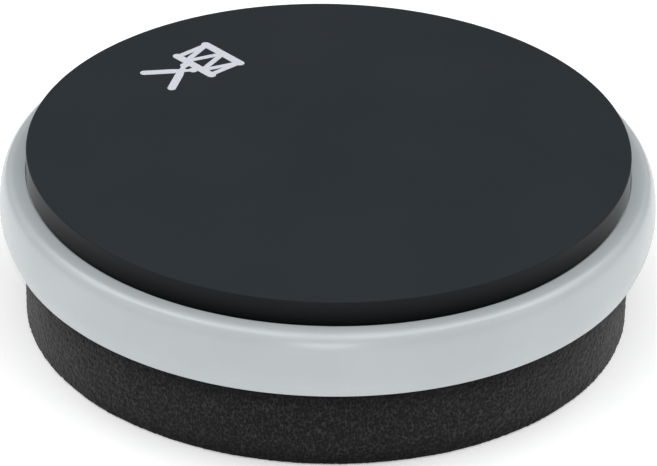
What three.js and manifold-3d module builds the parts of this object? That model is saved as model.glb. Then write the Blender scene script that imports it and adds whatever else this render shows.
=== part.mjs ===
// A round drum practice pad, nominal 12 inch, free-standing on a thick foam base.
//
// From the top down: a thick rubber disc with a printed emblem, glued into the seat of a
// moulded rim tray; a stiff round board screwed up inside the tray; and a foam disc glued
// under the board, its top third hidden inside the tray's skirt.
//
// Millimetres, +Z up. The origin is the centre of the foam's underside.

import * as THREE from "three";
import { mergeVertices } from "three/addons/utils/BufferGeometryUtils.js";
import Module from "manifold-3d";

const wasm = await Module();
wasm.setup();

// ---- Driving dimensions ----

const RIM_DIAMETER = 305; // widest girth of the tray, the nominal 12 inches
const RUBBER_DIAMETER = 280;
const FOAM_DIAMETER = 282;

const FOAM_THICKNESS = 56;
const FILM_THICKNESS = 0.25; // each layer of contact adhesive
const BOARD_THICKNESS = 12;
const DECK_THICKNESS = 3; // the tray's floor under the rubber
const RUBBER_THICKNESS = 13;

const SEAT_DEPTH = 1; // how far the rubber sits below the tray's ledge
const SEAT_CLEARANCE = 0.3; // between the rubber's edge and the seat's wall
const LIP_HEIGHT = 0.25; // the crest of the tray above the inner edge of its dished ledge

// ---- Heights of the stack ----

const BOARD_BOTTOM = FOAM_THICKNESS + FILM_THICKNESS;
const BOARD_TOP = BOARD_BOTTOM + BOARD_THICKNESS;
const SEAT_FLOOR = BOARD_TOP + DECK_THICKNESS;
const RUBBER_BOTTOM = SEAT_FLOOR + FILM_THICKNESS;
const RUBBER_TOP = RUBBER_BOTTOM + RUBBER_THICKNESS;
const LEDGE_HEIGHT = SEAT_FLOOR + SEAT_DEPTH;
const CREST_HEIGHT = LEDGE_HEIGHT + LIP_HEIGHT;

// ---- The tray's section ----

const GIRTH_RADIUS = RIM_DIAMETER / 2;
const GIRTH_HEIGHT = 56.25; // where the tray is widest
const CREST_RADIUS = GIRTH_RADIUS - 6; // top of the lip
const LIP_ROUNDING = 1; // how far inside the crest the ledge's dish ends
const LIP_EASE = 0.05; // how far below the crest it ends
const SHOULDER_FULLNESS = 0.1; // share of its height that the shoulder leaves the girth by
const CREST_FULLNESS = 1; // share of its width that it reaches the crest by
const SKIRT_FOOT_RADIUS = GIRTH_RADIUS - 4.1;
const SKIRT_FOOT_HEIGHT = 40.75; // the tray's lowest edge
const SKIRT_WALL = 3.25;
const FOOT_CHAMFER = 0.5;
const SEAT_RADIUS = RUBBER_DIAMETER / 2 + SEAT_CLEARANCE;

const GUSSET_COUNT = 24; // small webs in the corner between the deck and the skirt
const GUSSET_THICKNESS = 2;
const GUSSET_DEPTH = 16;

// ---- Board and its screws ----

const BOARD_RADIUS = FOAM_DIAMETER / 2;
const GUSSET_CLEARANCE = 0.75; // between the board's edge and the gussets

const SCREW_COUNT = 8;
const SCREW_CIRCLE_RADIUS = 112;
const SCREW_FIRST_BEARING = 22.5; // degrees from +X
const BOSS_RADIUS = 4.75;
const BOSS_CLEARANCE = 0.5; // between a boss and its hole in the board
const BOSS_HEIGHT = 8.25;
const PILOT_RADIUS = 2;
const PILOT_DEPTH = 7.75;
const COUNTERBORE_RADIUS = 8.5;
const COUNTERBORE_DEPTH = 3.25;

const SCREW_SHANK_RADIUS = 1.7;
const SCREW_SHANK_LENGTH = 7.5;
const SCREW_WASHER_RADIUS = 7.5;
const SCREW_WASHER_THICKNESS = 1;
const SCREW_HEAD_RADIUS = 4;
const SCREW_HEAD_HEIGHT = 2;
const SCREW_TIP_TAPER = 1;
const RECESS_LENGTH = 4.4; // the cross recess, tip to tip
const RECESS_WIDTH = 1;
const RECESS_DEPTH = 1.4;

// ---- Rubber, films and emblem ----

const RUBBER_EDGE_RADIUS = 0.8; // rounding of the struck face's edge
const RUBBER_DRAFT = 0.2; // how much narrower its foot is, on the radius
const FILM_RADIUS = RUBBER_DIAMETER / 2 - 1;

const EMBLEM_THICKNESS = 0.1; // a screen print
const EMBLEM_BEARING = 133; // degrees from +X to the emblem
const EMBLEM_DISTANCE = 98; // from the pad's centre to the emblem's
const DRUM_HOOP_LENGTH = 29;
const DRUM_HOOP_WIDTH = 4.4;
const DRUM_SHELL_WIDTH = 26.4;
const DRUM_LINE_WIDTH = 2.8; // the drum's sides and its lacing
const DRUM_LACE_RUNS = 4;
const DRUM_TOP = -2.8; // middle of the upper hoop, from the emblem's centre
const DRUM_BOTTOM = -20.8; // middle of the lower hoop
const STICK_LENGTH = 28;
const STICK_WIDTH = 4;
const STICK_NECK_WIDTH = 2.2;
const STICK_TIP_LENGTH = 4.6;
const STICK_TIP_WIDTH = 3.6;
const STICK_TAPER = 0.45; // share of the stick that narrows towards the tip
const STICK_ANGLE = 34; // degrees, each stick to the drum's upright
const STICK_OFFSET = 3.2; // from the upright to the middle of each stick
const STICK_HEIGHT = 10; // from the emblem's centre to the middle of each stick

// ---- Fineness ----

const ROUND_SIDES = 96; // the large discs and the tray
const SMALL_SIDES = 16; // bosses, holes and screws
const SHOULDER_STEPS = 7; // the tray's outer shoulder
const INNER_SHOULDER_STEPS = 3;
const SKIRT_STEPS = 3;
const DISH_STEPS = 3;
const EDGE_STEPS = 3;
const EMBLEM_CURVE_STEPS = 10;

// ---- Helpers ----

// A solid of revolution about Z from [radius, height] points listed upwards, outside first.
function turned(points, sides) {
  const section = points.map(([radius, height]) => new THREE.Vector2(radius, height));
  const geometry = new THREE.LatheGeometry(section, sides);
  return geometry.rotateX(Math.PI / 2);
}

// A plain disc or plug between two heights.
function disc(radius, bottom, top, sides) {
  return turned([[0, bottom], [radius, bottom], [radius, top], [0, top]], sides);
}

function toSolid(geometry) {
  const bare = geometry.clone();
  bare.deleteAttribute("normal");
  bare.deleteAttribute("uv");
  const welded = mergeVertices(bare);
  return new wasm.Manifold(new wasm.Mesh({
    numProp: 3,
    vertProperties: new Float32Array(welded.attributes.position.array),
    triVerts: new Uint32Array(welded.index.array),
  }));
}

function toGeometry(solid) {
  const mesh = solid.getMesh();
  const geometry = new THREE.BufferGeometry();
  geometry.setAttribute("position", new THREE.BufferAttribute(mesh.vertProperties, 3));
  geometry.setIndex(new THREE.BufferAttribute(mesh.triVerts, 1));
  return geometry;
}

function radians(degrees) {
  return THREE.MathUtils.degToRad(degrees);
}

// The places of the board's screws, which the tray's bosses and the board's holes share.
function screwPlaces() {
  return Array.from({ length: SCREW_COUNT }, (_, i) => {
    const bearing = radians(SCREW_FIRST_BEARING + (i * 360) / SCREW_COUNT);
    return [SCREW_CIRCLE_RADIUS * Math.cos(bearing), SCREW_CIRCLE_RADIUS * Math.sin(bearing)];
  });
}

// ---- Playing surface ----

function playingSurface() {
  const radius = RUBBER_DIAMETER / 2;
  const points = [[0, RUBBER_BOTTOM], [radius - RUBBER_DRAFT, RUBBER_BOTTOM]];
  for (let i = 0; i <= EDGE_STEPS; i += 1) {
    const angle = (i / EDGE_STEPS) * (Math.PI / 2);
    points.push([
      radius - RUBBER_EDGE_RADIUS * (1 - Math.cos(angle)),
      RUBBER_TOP - RUBBER_EDGE_RADIUS * (1 - Math.sin(angle)),
    ]);
  }
  points.push([0, RUBBER_TOP]);
  return turned(points, ROUND_SIDES);
}

// ---- Printed emblem: a laced drum with two crossed sticks standing on it ----

function extruded(shape) {
  return new THREE.ExtrudeGeometry(shape, {
    depth: EMBLEM_THICKNESS,
    bevelEnabled: false,
    curveSegments: EMBLEM_CURVE_STEPS,
  });
}

// One of the drum's hoops, level, with round ends.
function emblemHoop(height) {
  const reach = (DRUM_HOOP_LENGTH - DRUM_HOOP_WIDTH) / 2;
  const shape = new THREE.Shape();
  shape.absarc(-reach, height, DRUM_HOOP_WIDTH / 2, Math.PI / 2, 1.5 * Math.PI);
  shape.absarc(reach, height, DRUM_HOOP_WIDTH / 2, -Math.PI / 2, Math.PI / 2);
  shape.closePath();
  return toSolid(extruded(shape));
}

// A line of the drum from its lower hoop to its upper one, at the given places across.
function emblemLine(footX, topX) {
  const foot = new THREE.Vector2(footX, DRUM_BOTTOM);
  const run = new THREE.Vector2(topX, DRUM_TOP).sub(foot);
  const shape = new THREE.Shape();
  shape.moveTo(0, -DRUM_LINE_WIDTH / 2);
  shape.lineTo(run.length(), -DRUM_LINE_WIDTH / 2);
  shape.lineTo(run.length(), DRUM_LINE_WIDTH / 2);
  shape.lineTo(0, DRUM_LINE_WIDTH / 2);
  shape.closePath();
  return toSolid(extruded(shape).rotateZ(run.angle()).translate(foot.x, foot.y, 0));
}

// The drum seen from its side: two hoops, the shell's edges and the lacing between them.
function emblemDrum() {
  const side = (DRUM_SHELL_WIDTH - DRUM_LINE_WIDTH) / 2;
  let drum = emblemHoop(DRUM_TOP).add(emblemHoop(DRUM_BOTTOM));
  drum = drum.add(emblemLine(-side, -side)).add(emblemLine(side, side));
  const pitch = (2 * side) / DRUM_LACE_RUNS;
  for (let i = 0; i < DRUM_LACE_RUNS; i += 1) {
    const start = i * pitch - side;
    const rising = i % 2 === 0;
    drum = drum.add(emblemLine(rising ? start : start + pitch, rising ? start + pitch : start));
  }
  return drum;
}

// One stick along X: a round butt, a long taper to a thin neck, and an oval tip.
function emblemStick() {
  const half = STICK_LENGTH / 2;
  const taperStart = half - STICK_LENGTH * STICK_TAPER;
  const tipStart = half - STICK_TIP_LENGTH;
  const shape = new THREE.Shape();
  shape.moveTo(tipStart, -STICK_NECK_WIDTH / 2);
  shape.quadraticCurveTo(half - STICK_TIP_LENGTH / 2, -STICK_TIP_WIDTH, half, 0);
  shape.quadraticCurveTo(half - STICK_TIP_LENGTH / 2, STICK_TIP_WIDTH, tipStart, STICK_NECK_WIDTH / 2);
  shape.lineTo(taperStart, STICK_WIDTH / 2);
  shape.lineTo(-half + STICK_WIDTH / 2, STICK_WIDTH / 2);
  shape.absarc(-half + STICK_WIDTH / 2, 0, STICK_WIDTH / 2, Math.PI / 2, 1.5 * Math.PI);
  shape.lineTo(taperStart, -STICK_WIDTH / 2);
  shape.closePath();
  return extruded(shape);
}

function printedEmblem() {
  let emblem = emblemDrum();
  for (const side of [-1, 1]) {
    const stick = emblemStick().rotateZ(radians(-90 - side * STICK_ANGLE));
    emblem = emblem.add(toSolid(stick.translate(side * STICK_OFFSET, STICK_HEIGHT, 0)));
  }
  return toGeometry(emblem);
}

// ---- Rim tray ----

// Outer half-width of the skirt at a height between its foot and its girth.
function skirtRadius(height) {
  const fall = (GIRTH_HEIGHT - height) / (GIRTH_HEIGHT - SKIRT_FOOT_HEIGHT);
  return GIRTH_RADIUS - (GIRTH_RADIUS - SKIRT_FOOT_RADIUS) * fall ** 2;
}

// Points of the shoulder, upright at the girth and level at the given crest. The two fullnesses
// are the lengths of its curve's handles: 0.55 on both would be a quarter ellipse.
function shoulder(girthRadius, crestRadius, crestHeight, steps) {
  const curve = new THREE.CubicBezierCurve(
    new THREE.Vector2(girthRadius, GIRTH_HEIGHT),
    new THREE.Vector2(girthRadius, GIRTH_HEIGHT + SHOULDER_FULLNESS * (crestHeight - GIRTH_HEIGHT)),
    new THREE.Vector2(crestRadius + CREST_FULLNESS * (girthRadius - crestRadius), crestHeight),
    new THREE.Vector2(crestRadius, crestHeight),
  );
  return curve.getPoints(steps).map((point) => [point.x, point.y]);
}

// Points of the ledge's shallow dish, from just inside the crest in to the seat's edge.
function dishedLedge() {
  const outerRadius = CREST_RADIUS - LIP_ROUNDING;
  const rise = LIP_HEIGHT - LIP_EASE;
  return Array.from({ length: DISH_STEPS + 1 }, (_, i) => {
    const share = 1 - i / DISH_STEPS;
    return [SEAT_RADIUS + share * (outerRadius - SEAT_RADIUS), LEDGE_HEIGHT + rise * share ** 2];
  });
}

function traySection() {
  const skirtHeights = Array.from({ length: SKIRT_STEPS }, (_, i) => (
    SKIRT_FOOT_HEIGHT + FOOT_CHAMFER
      + (i / SKIRT_STEPS) * (GIRTH_HEIGHT - SKIRT_FOOT_HEIGHT - FOOT_CHAMFER)
  ));
  const outside = [
    [SKIRT_FOOT_RADIUS - FOOT_CHAMFER, SKIRT_FOOT_HEIGHT],
    ...skirtHeights.map((height) => [skirtRadius(height), height]),
    ...shoulder(GIRTH_RADIUS, CREST_RADIUS, CREST_HEIGHT, SHOULDER_STEPS),
  ];
  const top = [...dishedLedge(), [SEAT_RADIUS, SEAT_FLOOR], [0, SEAT_FLOOR]];
  const innerGirth = GIRTH_RADIUS - SKIRT_WALL;
  const innerCrest = CREST_RADIUS - SKIRT_WALL;
  const inside = [
    [SKIRT_FOOT_RADIUS - SKIRT_WALL + FOOT_CHAMFER, SKIRT_FOOT_HEIGHT],
    ...skirtHeights.map((height) => [skirtRadius(height) - SKIRT_WALL, height]),
    ...shoulder(innerGirth, innerCrest, BOARD_TOP, INNER_SHOULDER_STEPS),
    [0, BOARD_TOP],
  ];
  return [...inside.reverse(), ...outside, ...top];
}

// One web, standing on the given bearing in the corner under the ledge.
function gusset(bearing) {
  const web = new THREE.Shape();
  const innerRadius = BOARD_RADIUS + GUSSET_CLEARANCE;
  const outerRadius = GIRTH_RADIUS - SKIRT_WALL / 2;
  web.moveTo(innerRadius, BOARD_TOP + DECK_THICKNESS / 2);
  web.lineTo(innerRadius, BOARD_TOP - 1);
  web.lineTo(outerRadius, BOARD_TOP - GUSSET_DEPTH);
  web.lineTo(outerRadius, GIRTH_HEIGHT);
  web.lineTo(CREST_RADIUS, BOARD_TOP);
  web.lineTo(CREST_RADIUS, BOARD_TOP + DECK_THICKNESS / 2);
  web.closePath();
  const geometry = new THREE.ExtrudeGeometry(web, { depth: GUSSET_THICKNESS, bevelEnabled: false });
  geometry.translate(0, 0, -GUSSET_THICKNESS / 2);
  geometry.rotateX(Math.PI / 2);
  return toSolid(geometry.rotateZ(bearing));
}

function rimTray() {
  let tray = toSolid(turned(traySection(), ROUND_SIDES));
  for (let i = 0; i < GUSSET_COUNT; i += 1) {
    tray = tray.add(gusset((i * 2 * Math.PI) / GUSSET_COUNT));
  }
  const bossFoot = BOARD_TOP - BOSS_HEIGHT;
  for (const [x, y] of screwPlaces()) {
    const boss = disc(BOSS_RADIUS, bossFoot, BOARD_TOP + DECK_THICKNESS / 2, SMALL_SIDES);
    const pilot = disc(PILOT_RADIUS, bossFoot - 1, bossFoot + PILOT_DEPTH, SMALL_SIDES);
    tray = tray.add(toSolid(boss.translate(x, y, 0)));
    tray = tray.subtract(toSolid(pilot.translate(x, y, 0)));
  }
  return toGeometry(tray);
}

// ---- Core board ----

function coreBoard() {
  const below = BOARD_BOTTOM - 1;
  const counterboreTop = BOARD_BOTTOM + COUNTERBORE_DEPTH;
  let board = toSolid(disc(BOARD_RADIUS, BOARD_BOTTOM, BOARD_TOP, ROUND_SIDES));
  for (const [x, y] of screwPlaces()) {
    const hole = disc(BOSS_RADIUS + BOSS_CLEARANCE, below, BOARD_TOP + 1, SMALL_SIDES);
    const counterbore = disc(COUNTERBORE_RADIUS, below, counterboreTop, SMALL_SIDES);
    board = board.subtract(toSolid(hole.translate(x, y, 0)));
    board = board.subtract(toSolid(counterbore.translate(x, y, 0)));
  }
  return toGeometry(board);
}

// ---- Board screws: washer-head self-tapping screws, driven up into the tray's bosses ----

// Built with the washer's bearing face at height 0 and the head hanging below it.
function boardScrew() {
  const washerBottom = -SCREW_WASHER_THICKNESS;
  const headBottom = washerBottom - SCREW_HEAD_HEIGHT;
  const body = toSolid(turned([
    [0, headBottom],
    [SCREW_HEAD_RADIUS * 0.8, headBottom],
    [SCREW_HEAD_RADIUS, headBottom + SCREW_HEAD_HEIGHT / 3],
    [SCREW_HEAD_RADIUS, washerBottom],
    [SCREW_WASHER_RADIUS, washerBottom],
    [SCREW_WASHER_RADIUS, 0],
    [SCREW_SHANK_RADIUS, 0],
    [SCREW_SHANK_RADIUS, SCREW_SHANK_LENGTH - SCREW_TIP_TAPER],
    [SCREW_SHANK_RADIUS / 2, SCREW_SHANK_LENGTH],
    [0, SCREW_SHANK_LENGTH],
  ], SMALL_SIDES));
  const slot = new THREE.BoxGeometry(RECESS_LENGTH, RECESS_WIDTH, 2 * RECESS_DEPTH);
  slot.translate(0, 0, headBottom);
  const crossSlot = slot.clone().rotateZ(Math.PI / 2);
  return toGeometry(body.subtract(toSolid(slot)).subtract(toSolid(crossSlot)));
}

// ---- Assembly ----

const materials = {
  rubber: new THREE.MeshStandardMaterial({ color: 0x313538, roughness: 0.85, metalness: 0 }),
  print: new THREE.MeshStandardMaterial({ color: 0xcdcfda, roughness: 0.7, metalness: 0 }),
  plastic: new THREE.MeshStandardMaterial({ color: 0xb7bdbe, roughness: 0.5, metalness: 0 }),
  board: new THREE.MeshStandardMaterial({ color: 0x9a7650, roughness: 0.9, metalness: 0 }),
  steel: new THREE.MeshStandardMaterial({ color: 0xa8a9ab, roughness: 0.35, metalness: 1 }),
  glue: new THREE.MeshStandardMaterial({ color: 0xd8c690, roughness: 0.6, metalness: 0 }),
  foam: new THREE.MeshStandardMaterial({ color: 0x242322, roughness: 1, metalness: 0 }),
};

const group = new THREE.Group();

function place(name, geometry, material, x = 0, y = 0, z = 0) {
  const mesh = new THREE.Mesh(geometry, material);
  mesh.name = name;
  mesh.position.set(x, y, z);
  group.add(mesh);
  return mesh;
}

place("playing_surface", playingSurface(), materials.rubber);

const emblemBearing = radians(EMBLEM_BEARING);
const emblem = place(
  "printed_emblem",
  printedEmblem(),
  materials.print,
  EMBLEM_DISTANCE * Math.cos(emblemBearing),
  EMBLEM_DISTANCE * Math.sin(emblemBearing),
  RUBBER_TOP,
);
emblem.rotation.z = emblemBearing;

const surfaceFilm = disc(FILM_RADIUS, SEAT_FLOOR, RUBBER_BOTTOM, ROUND_SIDES);
place("surface_adhesive", surfaceFilm, materials.glue);

place("rim_tray", rimTray(), materials.plastic);

place("core_board", coreBoard(), materials.board);

const screwGeometry = boardScrew();
screwPlaces().forEach(([x, y], i) => {
  const name = `board_screw_${i + 1}`;
  place(name, screwGeometry, materials.steel, x, y, BOARD_BOTTOM + COUNTERBORE_DEPTH);
});

const foamFilm = disc(FILM_RADIUS, FOAM_THICKNESS, BOARD_BOTTOM, ROUND_SIDES);
place("foam_adhesive", foamFilm, materials.glue);

const foam = disc(FOAM_DIAMETER / 2, 0, FOAM_THICKNESS, ROUND_SIDES);
place("foam_base", foam, materials.foam);

export default group;
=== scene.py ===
"""The looks of a round drum practice pad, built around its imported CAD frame.

A thick rubber disc with a printed emblem, in a light grey moulded rim, on a thick foam disc.
The rubber, the rim and the foam are built here. The emblem keeps its CAD mesh, as do the
board, screws and glue inside, and each of them gets a material.
Metres, +Z up, the frame's own origin: the centre of the foam's underside.
"""

import math

import bmesh
import bpy
from mathutils import Matrix, Vector, noise


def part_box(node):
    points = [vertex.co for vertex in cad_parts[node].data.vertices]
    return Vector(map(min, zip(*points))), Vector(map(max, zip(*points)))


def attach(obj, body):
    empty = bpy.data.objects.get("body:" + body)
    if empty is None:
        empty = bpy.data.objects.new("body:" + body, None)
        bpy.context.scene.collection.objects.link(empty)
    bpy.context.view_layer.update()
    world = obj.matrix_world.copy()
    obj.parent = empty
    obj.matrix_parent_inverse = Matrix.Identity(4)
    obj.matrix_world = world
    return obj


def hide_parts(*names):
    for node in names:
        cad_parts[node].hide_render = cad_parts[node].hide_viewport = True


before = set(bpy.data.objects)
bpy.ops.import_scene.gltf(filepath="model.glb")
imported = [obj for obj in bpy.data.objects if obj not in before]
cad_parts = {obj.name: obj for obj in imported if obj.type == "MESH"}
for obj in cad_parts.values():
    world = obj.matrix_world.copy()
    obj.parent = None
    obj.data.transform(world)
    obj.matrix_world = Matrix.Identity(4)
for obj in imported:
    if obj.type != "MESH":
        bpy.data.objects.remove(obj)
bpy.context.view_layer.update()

MM = 0.001

# ---- Heights and radii read from the frame ----

RUBBER_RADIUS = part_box("playing_surface")[1].x
RUBBER_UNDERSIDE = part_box("playing_surface")[0].z
RUBBER_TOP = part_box("playing_surface")[1].z
GIRTH_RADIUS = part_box("rim_tray")[1].x
CREST_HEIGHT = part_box("rim_tray")[1].z
SKIRT_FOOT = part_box("rim_tray")[0].z
SEAT_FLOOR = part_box("surface_adhesive")[0].z
BOARD_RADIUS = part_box("core_board")[1].x
DECK_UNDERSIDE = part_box("core_board")[1].z
DECK_MIDDLE = (DECK_UNDERSIDE + SEAT_FLOOR) / 2
FOAM_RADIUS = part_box("foam_base")[1].x
FOAM_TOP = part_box("foam_base")[1].z

# ---- Rim ----

SEAT_CLEARANCE = 0.3 * MM  # around the rubber
SEAT_DEPTH = 1.0 * MM  # from the ledge down to the seat's floor
SEAT_EDGE_ROUNDING = 0.2 * MM
LIP_HEIGHT = 0.25 * MM  # from the ledge's inner edge up to the crest
LIP_EASE = 0.05 * MM  # the part of it that the lip's rounding takes
LIP_ROUNDING = 1.0 * MM  # width of that rounding
LIP_CREST_HANDLE = 0.4  # share of its width that it leaves the crest by
LIP_LEDGE_HANDLE = 0.3  # share of its width that it reaches the ledge by
CREST_RADIUS = GIRTH_RADIUS - 6 * MM
GIRTH_HEIGHT = 56.25 * MM
SHOULDER_FULLNESS = 0.1  # share of its height that the shoulder leaves the girth by
CREST_FULLNESS = 1.0  # share of its width that it reaches the crest by
FOOT_INSET = 4.1 * MM  # from the girth in to the skirt's foot
FOOT_ROUNDING = 0.5 * MM
SKIRT_WALL = 3.25 * MM

RIM_SEGMENTS = 360
FOOT_STEPS = 4
SKIRT_STEPS = 10
SHOULDER_STEPS = 24
SHOULDER_INSIDE_STEPS = 10
LIP_STEPS = 5
LEDGE_STEPS = 10
SEAT_EDGE_STEPS = 3

GUSSET_COUNT = 24
GUSSET_THICKNESS = 2 * MM
GUSSET_CLEARANCE = 0.75 * MM  # from the board's edge
GUSSET_INNER_DEPTH = 1 * MM  # below the deck's underside, beside the board
GUSSET_OUTER_DEPTH = 16 * MM  # below the deck's underside, in the skirt
BOSS_RADIUS = 4.75 * MM
BOSS_HEIGHT = 8.25 * MM
BOSS_SEGMENTS = 48
PILOT_RADIUS = 2 * MM
PILOT_DEPTH = 7.75 * MM
PILOT_LEAD = 1 * MM  # how far below the boss the cut starts

# ---- Rubber ----

RUBBER_EDGE_ROUNDING = 0.8 * MM
RUBBER_EDGE_STEPS = 8
RUBBER_FOOT_ROUNDING = 0.8 * MM
RUBBER_FOOT_STEPS = 4
RUBBER_DRAFT = 0.2 * MM  # how far its foot is set in from its edge
RUBBER_FACE_RINGS = (0.985, 0.96, 0.9, 0.75, 0.5, 0.25)  # shares of the radius
RUBBER_SEGMENTS = 360

# ---- Foam ----

FOAM_SEGMENTS = 1060
FOAM_SHOWN_ROWS = 60  # below the skirt's foot
FOAM_HIDDEN_ROWS = 4  # inside the skirt
FOAM_CAP_RINGS = 8
FOAM_CAP_CROWDING = 1.6  # power that crowds these rings towards the wall
FOAM_EDGE_ROUNDING = 0.8 * MM
FOAM_EDGE_STEPS = 3
FOAM_PIT = 1.3 * MM  # size of the hollows between torn cells
FOAM_PIT_DEPTH = 0.4 * MM
FOAM_PIT_SINK = 0.5  # share of that depth that the whole wall sinks by
FOAM_WAVE = 22 * MM  # length of the cut's slow wander
FOAM_WAVE_DEPTH = 0.25 * MM

# ---- Textures: sizes of their features and depths of their bumps ----

RUBBER_CLOUD = 60 * MM
RUBBER_GRAIN = 0.6 * MM
RUBBER_GRAIN_DEPTH = 0.02 * MM
RUBBER_FACE_SKIN = 0.1 * MM  # depth below the top by which the side's painted shade has ended
RIM_CLOUD = 45 * MM
RIM_GRAIN = 0.3 * MM
RIM_GRAIN_DEPTH = 0.004 * MM
RIM_ROUGHNESS = 0.24
RIM_ROUGHNESS_SPREAD = 0.04
FOAM_CELL = 1.0 * MM  # the cells that the cut wall shows
FOAM_CELL_STRETCH = 1.5  # how much taller than wide they are
FOAM_STRAND = 0.9 * MM
FOAM_PATCH = 5 * MM
FOAM_STRUT_DEPTH = 0.35 * MM
FOAM_SHADE_BAND = 9 * MM  # height of the band of painted shade at the foot, and of the one under the rim
FOAM_SHADE_DROP = 3.5 * MM  # from the skirt's foot down to where the upper band is darkest
FOAM_SHADE_SHARE = 0.75
INK_DEPTH = 0.05 * MM
BOARD_FIBRE = 1.5 * MM
BOARD_FIBRE_DEPTH = 0.15 * MM
SCREW_GRAIN = 0.4 * MM
GLUE_RIPPLE = 4 * MM
GLUE_RIPPLE_DEPTH = 0.1 * MM

# ---- Camera and studio ----

CAMERA_DISTANCE = 2.2416
CAMERA_ELEVATION = math.radians(30.51)
CAMERA_ROLL = math.radians(1.14)
CAMERA_LENS = 262.8  # mm, on a 36 mm sensor
CAMERA_AIM = Vector((0.6 * MM, 0, 36.95 * MM))

FLOOR_SIZE = 12
FLOOR_DROP = 0.3 * MM
FLOOR_GLOW = 0.3
WORLD_STRENGTH = 0.16
LIGHT_DISTANCE = 1.7
LIGHT_AIM = Vector((0, 0, 0.06))

# Each softbox: name, bearing and elevation in degrees, width in metres, power in watts.
MIDDLE_SOFTBOXES = (
    ("top", 0, 89.9, 1.6, 4.5),
    ("high_front", 0, 62, 1.2, 4),
    ("front_low", 0, 12, 0.55, 3.5),
)
# These stand on the left and on the right.
PAIRED_SOFTBOXES = (
    ("high", 90, 60, 0.9, 5.2),
    ("quarter", 45, 62, 0.8, 2.2),
    ("side", 90, 42, 0.8, 2.9),
    ("back", 130, 50, 0.5, 2),
    ("low", 62, 22, 0.7, 0.8),
)

# ---- Mesh helpers ----

SMOOTH_ANGLE = math.radians(35)
ON_AXIS = 1e-6  # a radius below this is on the axis


def smooth(mesh, angle=SMOOTH_ANGLE):
    """Shades the mesh smooth but for edges sharper than the angle."""
    mesh.polygons.foreach_set("use_smooth", [True] * len(mesh.polygons))
    mesh.set_sharp_from_angle(angle=angle)


def new_piece(name, bm, smooth_angle=SMOOTH_ANGLE):
    """An object in the frame, from a bmesh."""
    bmesh.ops.recalc_face_normals(bm, faces=bm.faces)
    mesh = bpy.data.meshes.new(name)
    bm.to_mesh(mesh)
    bm.free()
    smooth(mesh, smooth_angle)
    piece = bpy.data.objects.new(name, mesh)
    bpy.context.scene.collection.objects.link(piece)
    return piece


def turn(profile, segments):
    """A bmesh of (radius, height) points turned about Z. A point on the axis is one vertex."""
    bm = bmesh.new()
    angles = [2 * math.pi * i / segments for i in range(segments)]
    rings = []
    for radius, height in profile:
        if radius < ON_AXIS:
            rings.append([bm.verts.new((0, 0, height))])
        else:
            rings.append([
                bm.verts.new((radius * math.cos(a), radius * math.sin(a), height)) for a in angles
            ])
    for lower, upper in zip(rings, rings[1:]):
        for i in range(segments):
            j = (i + 1) % segments
            corners = []
            for ring, order in ((lower, (i, j)), (upper, (j, i))):
                if len(ring) == 1:
                    corners.append(ring[0])
                else:
                    corners.extend(ring[k] for k in order)
            bm.faces.new(corners)
    return bm


def arc(radius, height, size, start, stop, steps):
    """Points of a rounding of that size about (radius, height), between two angles in degrees."""
    angles = [math.radians(start + (stop - start) * i / steps) for i in range(steps + 1)]
    return [(radius + size * math.cos(a), height + size * math.sin(a)) for a in angles]


def bezier(p0, p1, p2, p3, steps):
    """Points of a cubic curve in the (radius, height) plane."""
    points = []
    for i in range(steps + 1):
        t = i / steps
        weights = ((1 - t) ** 3, 3 * t * (1 - t) ** 2, 3 * t * t * (1 - t), t ** 3)
        points.append(tuple(
            sum(w * p[k] for w, p in zip(weights, (p0, p1, p2, p3))) for k in (0, 1)
        ))
    return points


def apply_modifiers(piece):
    """Freezes the piece's modifiers into its mesh."""
    evaluated = piece.evaluated_get(bpy.context.evaluated_depsgraph_get())
    mesh = bpy.data.meshes.new_from_object(evaluated)
    piece.modifiers.clear()
    piece.data = mesh


def combine(piece, other, operation):
    """Joins another object to the piece or cuts it away, and removes the other one."""
    cut = piece.modifiers.new("combine", "BOOLEAN")
    cut.operation = operation
    cut.solver = "EXACT"
    cut.object = other
    bpy.context.view_layer.update()
    apply_modifiers(piece)
    smooth(piece.data)
    bpy.data.objects.remove(other)


# ---- Material helpers ----

# The sockets that a Mix node uses for colours, by their place in its lists.
MIX_SHARE, MIX_FIRST, MIX_SECOND = 0, 6, 7
MIX_RESULT = 2


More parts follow.
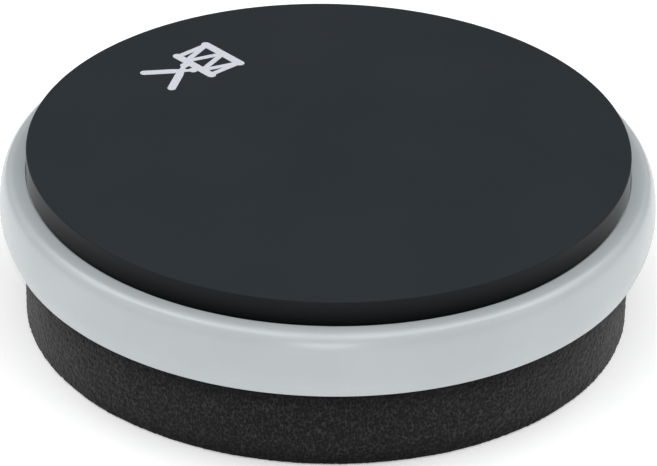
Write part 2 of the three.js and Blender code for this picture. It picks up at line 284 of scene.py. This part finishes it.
class Finish:
    """A material with one Principled shader, and short calls for the nodes that feed it.

    Sockets are named with _ for a space, and take a number, a colour or another node's output.
    """

    def __init__(self, name, **sockets):
        self.material = bpy.data.materials.new(name)
        self.material.use_nodes = True
        self.tree = self.material.node_tree
        self.shader = self.tree.nodes["Principled BSDF"]
        self.place = self.node("ShaderNodeTexCoord").outputs["Object"]
        self.set(**sockets)

    def feed(self, socket, value):
        if isinstance(value, bpy.types.NodeSocket):
            self.tree.links.new(value, socket)
        elif socket.type == "RGBA":
            socket.default_value = (*value, 1)
        else:
            socket.default_value = value

    def node(self, kind, **sockets):
        made = self.tree.nodes.new(kind)
        for key, value in sockets.items():
            self.feed(made.inputs[key.replace("_", " ")], value)
        return made

    def set(self, **sockets):
        """Sets the shader's own sockets, and gives the material."""
        for key, value in sockets.items():
            self.feed(self.shader.inputs[key.replace("_", " ")], value)
        return self.material

    def height(self):
        """The height in the frame, in metres."""
        return self.node("ShaderNodeSeparateXYZ", Vector=self.place).outputs["Z"]

    def noise(self, size, detail, roughness=0.5, place=None):
        """Soft noise with features of about that size, from 0 to 1."""
        made = self.node(
            "ShaderNodeTexNoise",
            Vector=place or self.place,
            Scale=1 / size,
            Detail=detail,
            Roughness=roughness,
        )
        return made.outputs["Fac"]

    def cells(self, size, place):
        """Cells of about that size: the distance from the middle of each."""
        return self.node("ShaderNodeTexVoronoi", Vector=place, Scale=1 / size).outputs["Distance"]

    def math(self, operation, first, second):
        made = self.node("ShaderNodeMath")
        made.operation = operation
        self.feed(made.inputs[0], first)
        self.feed(made.inputs[1], second)
        return made.outputs["Value"]

    def weigh(self, share, first, second):
        """That share of the first value, and the rest of the second."""
        part = self.math("MULTIPLY", first, share)
        rest = self.math("MULTIPLY", second, 1 - share)
        return self.math("ADD", part, rest)

    def map(self, value, low, high, to_low, to_high):
        """The value's range from low to high moved to another range, and held there."""
        made = self.node(
            "ShaderNodeMapRange",
            Value=value,
            From_Min=low,
            From_Max=high,
            To_Min=to_low,
            To_Max=to_high,
        )
        return made.outputs["Result"]

    def blend(self, share, first, second):
        """The first colour at share 0 and the second at share 1."""
        made = self.node("ShaderNodeMix")
        made.data_type = "RGBA"
        self.feed(made.inputs[MIX_SHARE], share)
        self.feed(made.inputs[MIX_FIRST], first)
        self.feed(made.inputs[MIX_SECOND], second)
        return made.outputs[MIX_RESULT]

    def tones(self, value, low, high, dark, pale):
        """The dark colour where the value is low, the pale one where it is high."""
        return self.blend(self.map(value, low, high, 0, 1), dark, pale)

    def bump(self, height, depth, strength):
        """A bump of that depth in metres."""
        made = self.node("ShaderNodeBump", Height=height, Distance=depth, Strength=strength)
        return made.outputs["Normal"]


# ---- Materials ----

def rubber_material():
    """Matt black natural rubber: a faint cloudy bloom, a fine pressed grain, and a side in painted
    shade, darker than the top and near black towards the foot.
    """
    finish = Finish("natural_rubber", Specular_IOR_Level=0.1, Sheen_Weight=0.3, Sheen_Roughness=0.28)
    cloud = finish.noise(RUBBER_CLOUD, detail=4)
    grain = finish.noise(RUBBER_GRAIN, detail=3, roughness=0.6)
    height = finish.height()
    side_top = RUBBER_TOP - RUBBER_EDGE_ROUNDING
    face_start = RUBBER_TOP - RUBBER_FACE_SKIN
    face = finish.tones(
        finish.weigh(0.6, cloud, grain),
        low=0.3,
        high=0.7,
        dark=(0.0160, 0.0206, 0.0245),
        pale=(0.0199, 0.0245, 0.0284),
    )
    # Painted shade: the side is darker than the top and fades to near black towards the foot.
    side = finish.tones(
        height,
        low=RUBBER_UNDERSIDE,
        high=side_top,
        dark=(0.0001, 0.0001, 0.0001),
        pale=(0.0080, 0.0098, 0.0120),
    )
    return finish.set(
        Base_Color=finish.blend(finish.map(height, side_top, face_start, 0, 1), side, face),
        Roughness=finish.map(height, side_top, face_start, 0.42, 0.58),
        Normal=finish.bump(grain, RUBBER_GRAIN_DEPTH, strength=0.5),
    )


def rim_material():
    """Light grey moulded plastic with a satin, finely textured skin."""
    finish = Finish("satin_grey_plastic")
    cloud = finish.noise(RIM_CLOUD, detail=3)
    grain = finish.noise(RIM_GRAIN, detail=2, roughness=0.6)
    smoothest = RIM_ROUGHNESS - RIM_ROUGHNESS_SPREAD
    roughest = RIM_ROUGHNESS + RIM_ROUGHNESS_SPREAD
    return finish.set(
        Base_Color=finish.tones(
            cloud, low=0.35, high=0.65, dark=(0.472, 0.510, 0.523), pale=(0.496, 0.534, 0.547)
        ),
        Roughness=finish.map(grain, 0.3, 0.7, smoothest, roughest),
        Normal=finish.bump(grain, RIM_GRAIN_DEPTH, strength=0.5),
    )


def foam_material():
    """Charcoal open-cell foam: dark pores, paler struts, and painted shade under the rim and at the
    foot.
    """
    finish = Finish(
        "open_cell_foam",
        Roughness=0.95,
        Specular_IOR_Level=0.1,
        Sheen_Weight=0.2,
        Sheen_Roughness=0.45,
    )
    squeeze = finish.node("ShaderNodeMapping", Vector=finish.place, Scale=(1, 1, 1 / FOAM_CELL_STRETCH))
    squeezed = squeeze.outputs["Vector"]
    pores = finish.cells(FOAM_CELL, squeezed)
    strands = finish.noise(FOAM_STRAND, detail=2, roughness=0.7, place=squeezed)
    struts = finish.weigh(0.5, pores, strands)
    patches = finish.noise(FOAM_PATCH, detail=3)
    lit = finish.tones(
        finish.weigh(0.85, struts, patches),
        low=0.46,
        high=0.80,
        dark=(0.0100, 0.0094, 0.0096),
        pale=(0.0560, 0.0524, 0.0532),
    )
    # Painted shade: the colour is blended towards near black under the rim's overhang and towards the
    # foot.
    height = finish.height()
    shade_top = SKIRT_FOOT - FOAM_SHADE_DROP
    under_rim = finish.map(height, shade_top - FOAM_SHADE_BAND, shade_top, 0, FOAM_SHADE_SHARE)
    at_foot = finish.map(height, 0, FOAM_SHADE_BAND, FOAM_SHADE_SHARE, 0)
    shade = finish.math("MAXIMUM", under_rim, at_foot)
    return finish.set(
        Base_Color=finish.blend(shade, lit, (0.002, 0.002, 0.002)),
        Normal=finish.bump(struts, FOAM_STRUT_DEPTH, strength=0.8),
    )


def print_material():
    """Pale lilac grey screen ink over the rubber's grain, with tiny pinholes."""
    finish = Finish("screen_ink", Roughness=0.6, Specular_IOR_Level=0.4)
    grain = finish.noise(RUBBER_GRAIN, detail=3, roughness=0.6)
    return finish.set(
        Base_Color=finish.tones(
            grain, low=0.35, high=0.6, dark=(0.50, 0.51, 0.57), pale=(0.66, 0.67, 0.74)
        ),
        Normal=finish.bump(grain, INK_DEPTH, strength=0.6),
    )


def board_material():
    """Medium-density fibreboard: brown, with short pressed fibres."""
    finish = Finish("fibreboard", Roughness=0.85)
    fibres = finish.noise(BOARD_FIBRE, detail=5, roughness=0.7)
    return finish.set(
        Base_Color=finish.tones(
            fibres, low=0.3, high=0.7, dark=(0.24, 0.13, 0.06), pale=(0.40, 0.25, 0.13)
        ),
        Normal=finish.bump(fibres, BOARD_FIBRE_DEPTH, strength=0.5),
    )


def screw_material():
    """Zinc-plated steel with a fine drawn grain."""
    finish = Finish("zinc_plated_steel", Metallic=1.0)
    grain = finish.noise(SCREW_GRAIN, detail=3)
    return finish.set(
        Base_Color=finish.blend(grain, (0.48, 0.48, 0.47), (0.66, 0.66, 0.65)),
        Roughness=finish.map(grain, 0.3, 0.7, 0.28, 0.45),
    )


def glue_material():
    """Amber contact adhesive, rolled on in an uneven coat."""
    finish = Finish("contact_adhesive", Roughness=0.4)
    coat = finish.noise(GLUE_RIPPLE, detail=4, roughness=0.6)
    return finish.set(
        Base_Color=finish.tones(
            coat, low=0.3, high=0.7, dark=(0.50, 0.33, 0.10), pale=(0.72, 0.56, 0.24)
        ),
        Normal=finish.bump(coat, GLUE_RIPPLE_DEPTH, strength=0.7),
    )


def floor_material():
    """Matt white, with a faint glow that keeps it plain and pale."""
    finish = Finish(
        "pale_floor",
        Base_Color=(0.9, 0.9, 0.9),
        Roughness=0.9,
        Specular_IOR_Level=0.1,
        Emission_Color=(1, 1, 1),
        Emission_Strength=FLOOR_GLOW,
    )
    return finish.material


# ---- Playing surface ----

def playing_surface():
    """The rubber disc, rounded a little at its top edge and at its foot."""
    edge, foot = RUBBER_EDGE_ROUNDING, RUBBER_FOOT_ROUNDING
    foot_radius = RUBBER_RADIUS - RUBBER_DRAFT
    profile = [(0, RUBBER_UNDERSIDE)]
    profile += arc(foot_radius - foot, RUBBER_UNDERSIDE + foot, foot, -90, 0, RUBBER_FOOT_STEPS)
    profile += arc(RUBBER_RADIUS - edge, RUBBER_TOP - edge, edge, 0, 90, RUBBER_EDGE_STEPS)
    profile += [(RUBBER_RADIUS * share, RUBBER_TOP) for share in RUBBER_FACE_RINGS]
    profile.append((0, RUBBER_TOP))
    return new_piece("rubber_disc", turn(profile, RUBBER_SEGMENTS))


# ---- Rim ----

def skirt_radius(height, inset):
    """The skirt's radius at a height, that far in from its outside."""
    fall = (GIRTH_HEIGHT - height) / (GIRTH_HEIGHT - SKIRT_FOOT)
    return GIRTH_RADIUS - inset - FOOT_INSET * fall ** 2


def shoulder(inset, top_radius, top_height, steps):
    """Points from the girth, that far in from its outside, up and over to the top."""
    side = GIRTH_RADIUS - inset
    return bezier(
        (side, GIRTH_HEIGHT),
        (side, GIRTH_HEIGHT + SHOULDER_FULLNESS * (top_height - GIRTH_HEIGHT)),
        (top_radius + CREST_FULLNESS * (side - top_radius), top_height),
        (top_radius, top_height),
        steps,
    )


def rim_profile():
    """Half of the rim's section: the deck's underside, the skirt inside and out, the top."""
    rise = SKIRT_FOOT + FOOT_ROUNDING
    heights = [rise + (GIRTH_HEIGHT - rise) * i / SKIRT_STEPS for i in range(SKIRT_STEPS)]

    inner_crest = CREST_RADIUS - SKIRT_WALL
    inner_foot = skirt_radius(rise, SKIRT_WALL - FOOT_ROUNDING)
    inside = shoulder(SKIRT_WALL, inner_crest, DECK_UNDERSIDE, SHOULDER_INSIDE_STEPS)[::-1]
    inside += [(skirt_radius(z, SKIRT_WALL), z) for z in heights[:0:-1]]
    inside += arc(inner_foot, rise, FOOT_ROUNDING, 180, 270, FOOT_STEPS)

    outside = arc(skirt_radius(rise, FOOT_ROUNDING), rise, FOOT_ROUNDING, -90, 0, FOOT_STEPS)
    outside += [(skirt_radius(z, 0), z) for z in heights[1:]]
    outside += shoulder(0, CREST_RADIUS, CREST_HEIGHT, SHOULDER_STEPS)

    seat_radius = RUBBER_RADIUS + SEAT_CLEARANCE
    ledge_height = SEAT_FLOOR + SEAT_DEPTH
    ledge_start = seat_radius + SEAT_EDGE_ROUNDING
    ledge_end = CREST_RADIUS - LIP_ROUNDING
    ledge_rise = LIP_HEIGHT - LIP_EASE
    slope = 2 * ledge_rise / (ledge_end - seat_radius)
    handle = LIP_LEDGE_HANDLE * LIP_ROUNDING
    lip = bezier(
        (CREST_RADIUS, CREST_HEIGHT),
        (CREST_RADIUS - LIP_CREST_HANDLE * LIP_ROUNDING, CREST_HEIGHT),
        (ledge_end + handle, ledge_height + ledge_rise + handle * slope),
        (ledge_end, ledge_height + ledge_rise),
        LIP_STEPS,
    )
    shares = [1 - i / LEDGE_STEPS for i in range(1, LEDGE_STEPS)]
    ledge = [
        (ledge_start + share * (ledge_end - ledge_start), ledge_height + ledge_rise * share ** 2)
        for share in shares
    ]
    seat_edge = arc(
        ledge_start, ledge_height - SEAT_EDGE_ROUNDING, SEAT_EDGE_ROUNDING, 90, 180, SEAT_EDGE_STEPS
    )
    seat = [(seat_radius, SEAT_FLOOR), (0, SEAT_FLOOR)]
    return [(0, DECK_UNDERSIDE)] + inside + outside + lip[1:] + ledge + seat_edge + seat


def gussets():
    """The small webs under the ledge, between the deck and the skirt."""
    inner = BOARD_RADIUS + GUSSET_CLEARANCE
    outer = GIRTH_RADIUS - SKIRT_WALL / 2
    outline = [
        (inner, DECK_MIDDLE),
        (inner, DECK_UNDERSIDE - GUSSET_INNER_DEPTH),
        (outer, DECK_UNDERSIDE - GUSSET_OUTER_DEPTH),
        (outer, GIRTH_HEIGHT),
        (CREST_RADIUS, DECK_UNDERSIDE),
        (CREST_RADIUS, DECK_MIDDLE),
    ]
    bm = bmesh.new()
    for k in range(GUSSET_COUNT):
        turned = Matrix.Rotation(2 * math.pi * k / GUSSET_COUNT, 3, "Z")
        near, far = [
            [bm.verts.new(turned @ Vector((r, side * GUSSET_THICKNESS / 2, z))) for r, z in outline]
            for side in (-1, 1)
        ]
        bm.faces.new(near)
        bm.faces.new(far[::-1])
        for i in range(len(outline)):
            j = (i + 1) % len(outline)
            bm.faces.new((near[i], far[i], far[j], near[j]))
    return new_piece("gussets", bm)


def screw_places():
    """The centres of the board's screws, read from the frame."""
    names = sorted(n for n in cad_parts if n.startswith("board_screw_"))
    return [(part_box(n)[0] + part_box(n)[1]) / 2 for n in names]


def plugs(name, radius, bottom, top):
    """A round plug between two heights at each screw."""
    bm = bmesh.new()
    for place in screw_places():
        plug = turn([(0, bottom), (radius, bottom), (radius, top), (0, top)], BOSS_SEGMENTS)
        bmesh.ops.translate(plug, verts=plug.verts, vec=(place.x, place.y, 0))
        mesh = bpy.data.meshes.new(name)
        plug.to_mesh(mesh)
        plug.free()
        bm.from_mesh(mesh)
        bpy.data.meshes.remove(mesh)
    return new_piece(name, bm)


def rim():
    """The moulded rim: tray and skirt, with its gussets, and its bosses with their pilot holes."""
    boss_foot = DECK_UNDERSIDE - BOSS_HEIGHT
    bosses = plugs("bosses", BOSS_RADIUS, boss_foot, DECK_MIDDLE)
    pilots = plugs("pilots", PILOT_RADIUS, boss_foot - PILOT_LEAD, boss_foot + PILOT_DEPTH)
    piece = new_piece("moulded_rim", turn(rim_profile(), RIM_SEGMENTS))
    combine(piece, gussets(), "UNION")
    combine(piece, bosses, "UNION")
    combine(piece, pilots, "DIFFERENCE")
    return piece


# ---- Foam ----

def foam_profile():
    """Half of the foam's section, with many rows on the part of its wall that shows."""
    edge = FOAM_EDGE_ROUNDING
    inner = FOAM_RADIUS - edge
    shown_rise = SKIRT_FOOT - edge
    hidden_rise = FOAM_TOP - edge - SKIRT_FOOT
    shown = [edge + shown_rise * i / FOAM_SHOWN_ROWS for i in range(FOAM_SHOWN_ROWS)]
    hidden = [SKIRT_FOOT + hidden_rise * i / FOAM_HIDDEN_ROWS for i in range(FOAM_HIDDEN_ROWS + 1)]
    shares = [(i / FOAM_CAP_RINGS) ** FOAM_CAP_CROWDING for i in range(1, FOAM_CAP_RINGS)]
    caps = [inner - inner * share for share in shares]

    bottom = [(0, 0)] + [(r, 0) for r in caps[::-1]]
    bottom += arc(inner, edge, edge, -90, 0, FOAM_EDGE_STEPS)[:-1]
    wall = [(FOAM_RADIUS, z) for z in shown + hidden]
    top = arc(inner, FOAM_TOP - edge, edge, 0, 90, FOAM_EDGE_STEPS)[1:]
    top += [(r, FOAM_TOP) for r in caps] + [(0, FOAM_TOP)]
    return bottom + wall + top


def foam():
    """A cut disc of open-cell foam: its wall is pitted by torn cells and wanders a little."""
    bm = turn(foam_profile(), FOAM_SEGMENTS)
    for vert in bm.verts:
        outward = Vector((vert.co.x, vert.co.y, 0))
        if outward.length < FOAM_RADIUS - FOAM_EDGE_ROUNDING:
            continue
        pits = noise.noise(vert.co / FOAM_PIT)
        wander = noise.noise(vert.co / FOAM_WAVE)
        outward.normalize()
        vert.co += outward * (FOAM_PIT_DEPTH * (pits - FOAM_PIT_SINK) + FOAM_WAVE_DEPTH * wander)
    return new_piece("foam_disc", bm, math.pi)


# ---- Studio ----

def softbox(name, bearing, elevation, width, power):
    """A round soft light aimed at the pad. The bearing is from the front, towards the right."""
    data = bpy.data.lights.new(name, "AREA")
    data.shape = "DISK"
    data.size = width
    data.energy = power
    light = bpy.data.objects.new(name, data)
    across, up = math.radians(bearing), math.radians(elevation)
    level = LIGHT_DISTANCE * math.cos(up)
    light.location = (level * math.sin(across), -level * math.cos(across), LIGHT_DISTANCE * math.sin(up))
    aim = LIGHT_AIM - light.location
    light.rotation_euler = aim.to_track_quat("-Z", "Y").to_euler()
    bpy.context.scene.collection.objects.link(light)


def studio():
    """The plain floor, the even light from all around and the softboxes."""
    bm = bmesh.new()
    bmesh.ops.create_grid(bm, x_segments=1, y_segments=1, size=FLOOR_SIZE / 2)
    bmesh.ops.translate(bm, verts=bm.verts, vec=(0, 0, -FLOOR_DROP))
    floor = new_piece("floor", bm)
    floor.data.materials.append(floor_material())

    world = bpy.data.worlds.new("studio")
    world.use_nodes = True
    background = world.node_tree.nodes["Background"]
    background.inputs["Color"].default_value = (1, 1, 1, 1)
    background.inputs["Strength"].default_value = WORLD_STRENGTH
    bpy.context.scene.world = world

    for values in MIDDLE_SOFTBOXES:
        softbox(*values)
    for side_name, side in (("left", -1), ("right", 1)):
        for name, bearing, *values in PAIRED_SOFTBOXES:
            softbox(f"{name}_{side_name}", bearing * side, *values)


def camera():
    """Looks down at the pad from the front, rolled by a degree."""
    data = bpy.data.cameras.new("camera")
    data.lens = CAMERA_LENS
    view = bpy.data.objects.new("camera", data)
    forward = Vector((0, math.cos(CAMERA_ELEVATION), -math.sin(CAMERA_ELEVATION)))
    level = Vector((1, 0, 0))
    upward = level.cross(forward)
    right = level * math.cos(CAMERA_ROLL) + upward * math.sin(CAMERA_ROLL)
    up = upward * math.cos(CAMERA_ROLL) - level * math.sin(CAMERA_ROLL)
    place = CAMERA_AIM - forward * CAMERA_DISTANCE
    axes = Matrix((right, up, -forward)).transposed().to_4x4()
    view.matrix_world = Matrix.Translation(place) @ axes
    bpy.context.scene.collection.objects.link(view)
    bpy.context.scene.camera = view


# ---- Assembly ----

def coat(piece, material):
    """Gives the piece that material and no other."""
    piece.data.materials.clear()
    piece.data.materials.append(material)


def dress(piece, material, node):
    """Puts a finished piece in place of its CAD node."""
    coat(piece, material)
    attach(piece, "root")
    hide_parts(node)


camera()
studio()
bpy.context.scene.view_settings.view_transform = "Standard"

dress(playing_surface(), rubber_material(), "playing_surface")
dress(rim(), rim_material(), "rim_tray")
foam_piece = foam()
dress(foam_piece, foam_material(), "foam_base")

kept_finishes = {
    "printed_emblem": print_material(),
    "core_board": board_material(),
    "board_screw": screw_material(),
    "surface_adhesive": glue_material(),
    "foam_adhesive": glue_material(),
}
for name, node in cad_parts.items():
    for prefix, material in kept_finishes.items():
        if name.startswith(prefix):
            coat(node, material)
